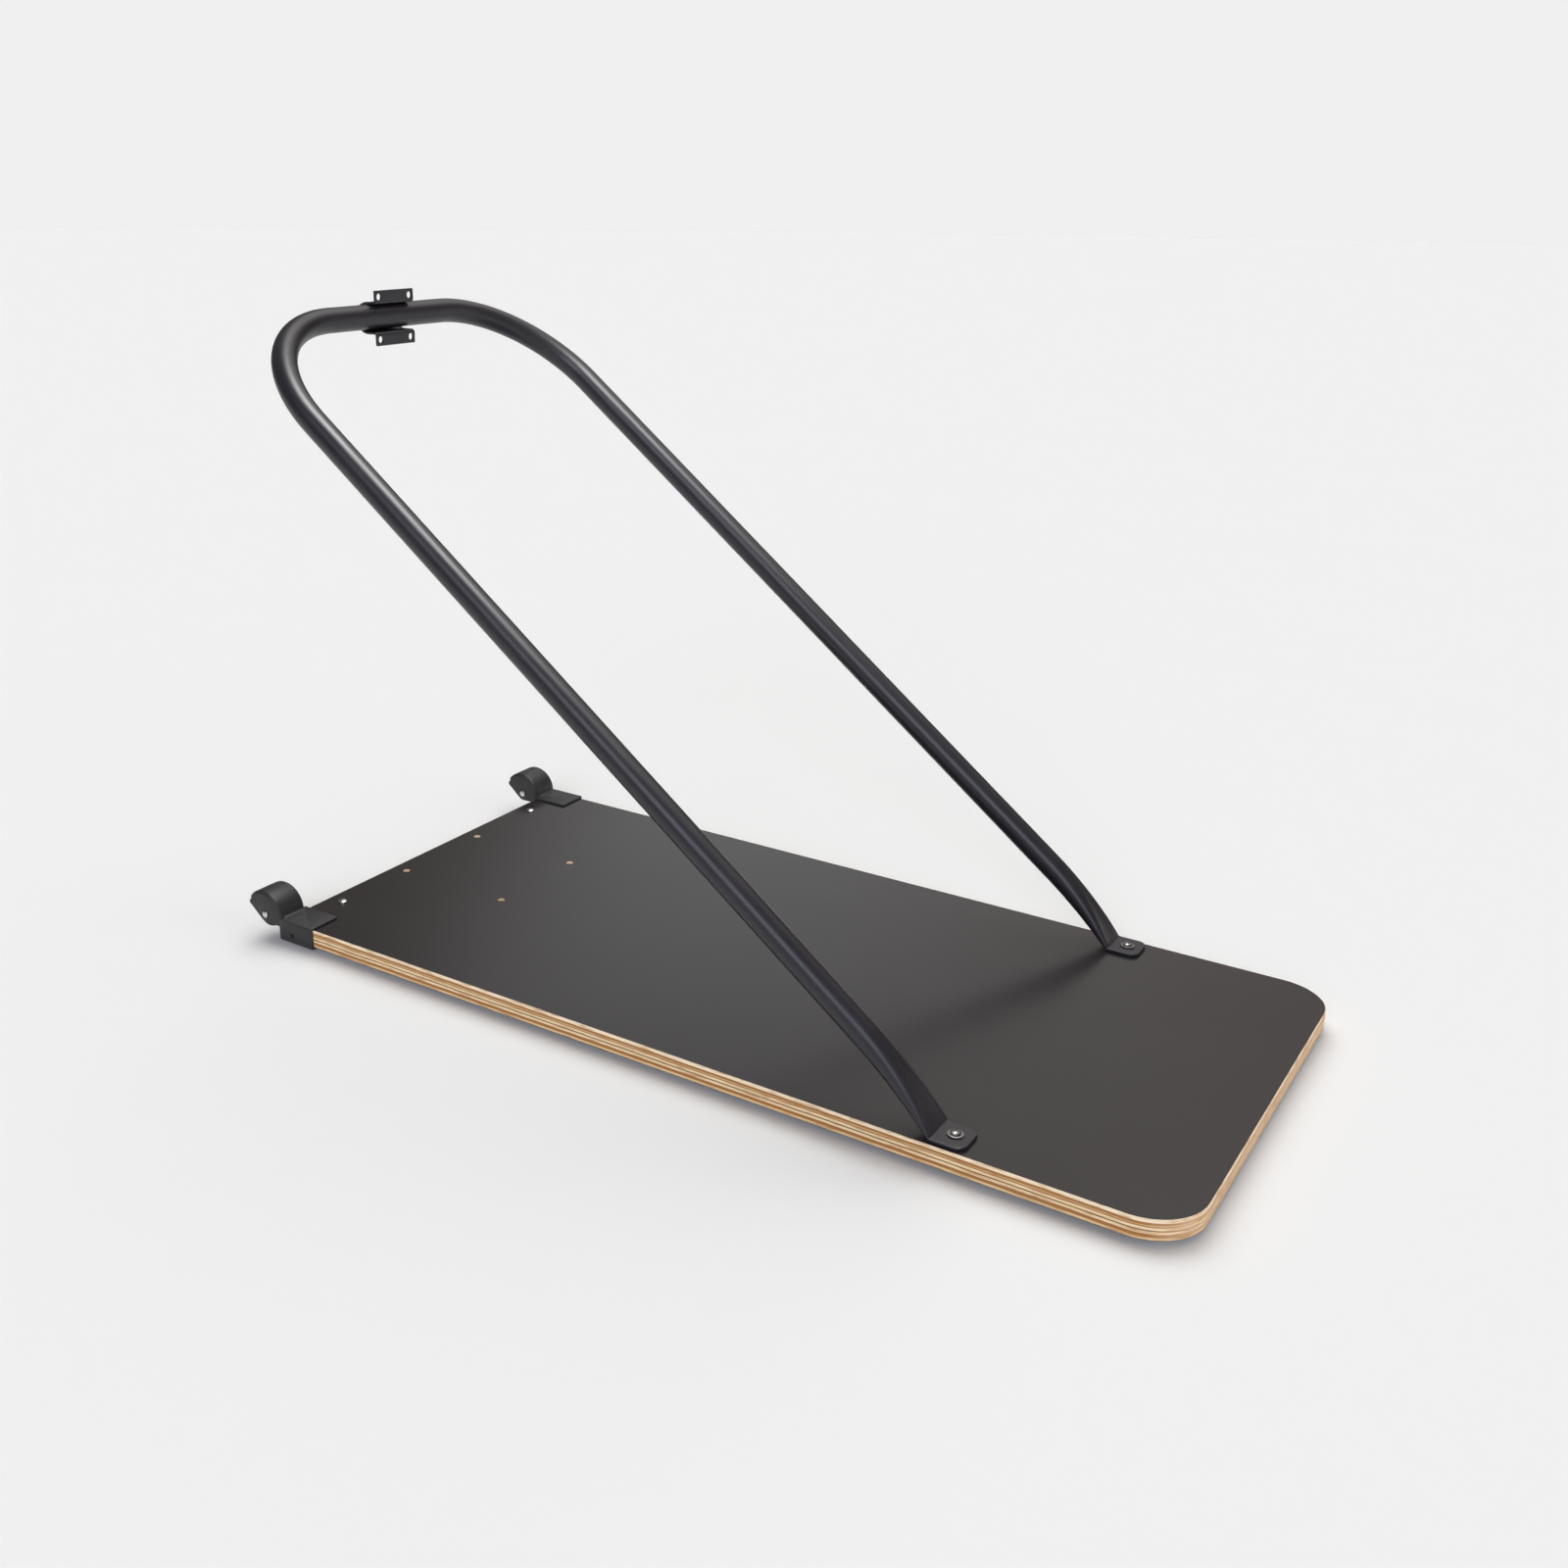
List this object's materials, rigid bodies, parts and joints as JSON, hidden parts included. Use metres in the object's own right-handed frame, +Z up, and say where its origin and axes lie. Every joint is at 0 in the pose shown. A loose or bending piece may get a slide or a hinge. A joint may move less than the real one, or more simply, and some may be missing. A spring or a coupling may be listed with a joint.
{
  "type": "exercise machine floor stand",
  "caption": "Free-standing floor stand for an upright pulling trainer: plywood deck on rubber feet, leaning bent-tube support with bracket, and corner transport wheels.",
  "frame": {"origin": "on the floor, under the middle of the whole stand's box", "axes": "+X to the right of a user who faces the bracket, +Y towards the wheel end, +Z up"},
  "size_m": [0.6096, 1.2875, 0.831],
  "materials": {
    "film_faced_plywood": "plywood with black anti-slip film on its faces and a raw, sealed edge",
    "black_powder_coat": "satin black powder coat on steel",
    "black_moulding": "moulded, fine grain",
    "tyre_rubber": "matt",
    "foot_rubber": "matt",
    "grey_nylon": "moulded",
    "bright_zinc": "bright zinc plate",
    "black_zinc": "black zinc plate"
  },
  "bodies": {
    "stand": {"axle_cap_left": "bright_zinc", "axle_cap_right": "bright_zinc", "axle_left": "bright_zinc", "axle_right": "bright_zinc", "axle_spacer_left": "grey_nylon", "axle_spacer_right": "grey_nylon", "deck_board": "film_faced_plywood", "foot_bolt_left": "bright_zinc", "foot_bolt_right": "bright_zinc", "foot_middle_left": "foot_rubber", "foot_middle_right": "foot_rubber", "foot_nut_left": "bright_zinc", "foot_nut_right": "bright_zinc", "foot_screw_middle_left": "bright_zinc", "foot_screw_middle_right": "bright_zinc", "foot_screw_user_end_left": "bright_zinc", "foot_screw_user_end_right": "bright_zinc", "foot_user_end_left": "foot_rubber", "foot_user_end_right": "foot_rubber", "foot_wheel_end_left": "foot_rubber", "foot_wheel_end_right": "foot_rubber", "housing_base_screw_left": "black_zinc", "housing_base_screw_right": "black_zinc", "housing_side_screw_left": "black_zinc", "housing_side_screw_right": "black_zinc", "machine_bracket": "black_powder_coat", "machine_nut_1": "bright_zinc", "machine_nut_2": "bright_zinc", "machine_nut_3": "bright_zinc", "machine_nut_4": "bright_zinc", "support_tube": "black_powder_coat", "tab_bolt_left": "bright_zinc", "tab_bolt_right": "bright_zinc", "tab_nut_left": "bright_zinc", "tab_nut_right": "bright_zinc", "tab_washer_left": "bright_zinc", "tab_washer_right": "bright_zinc", "wheel_housing_left": "black_moulding", "wheel_housing_right": "black_moulding"},
    "left_wheel": {"wheel_left": "grey_nylon", "tyre_left": "tyre_rubber"},
    "right_wheel": {"wheel_right": "grey_nylon", "tyre_right": "tyre_rubber"}
  },
  "joints": [
    {"name": "left_wheel_spin", "type": "hinge", "parent": "stand", "child": "left_wheel", "pos_m": [-0.2863, 0.61425, 0.0338], "axis": [1, 0, 0], "continuous": true},
    {"name": "right_wheel_spin", "type": "hinge", "parent": "stand", "child": "right_wheel", "pos_m": [0.2863, 0.61425, 0.0338], "axis": [1, 0, 0], "continuous": true}
  ]
}
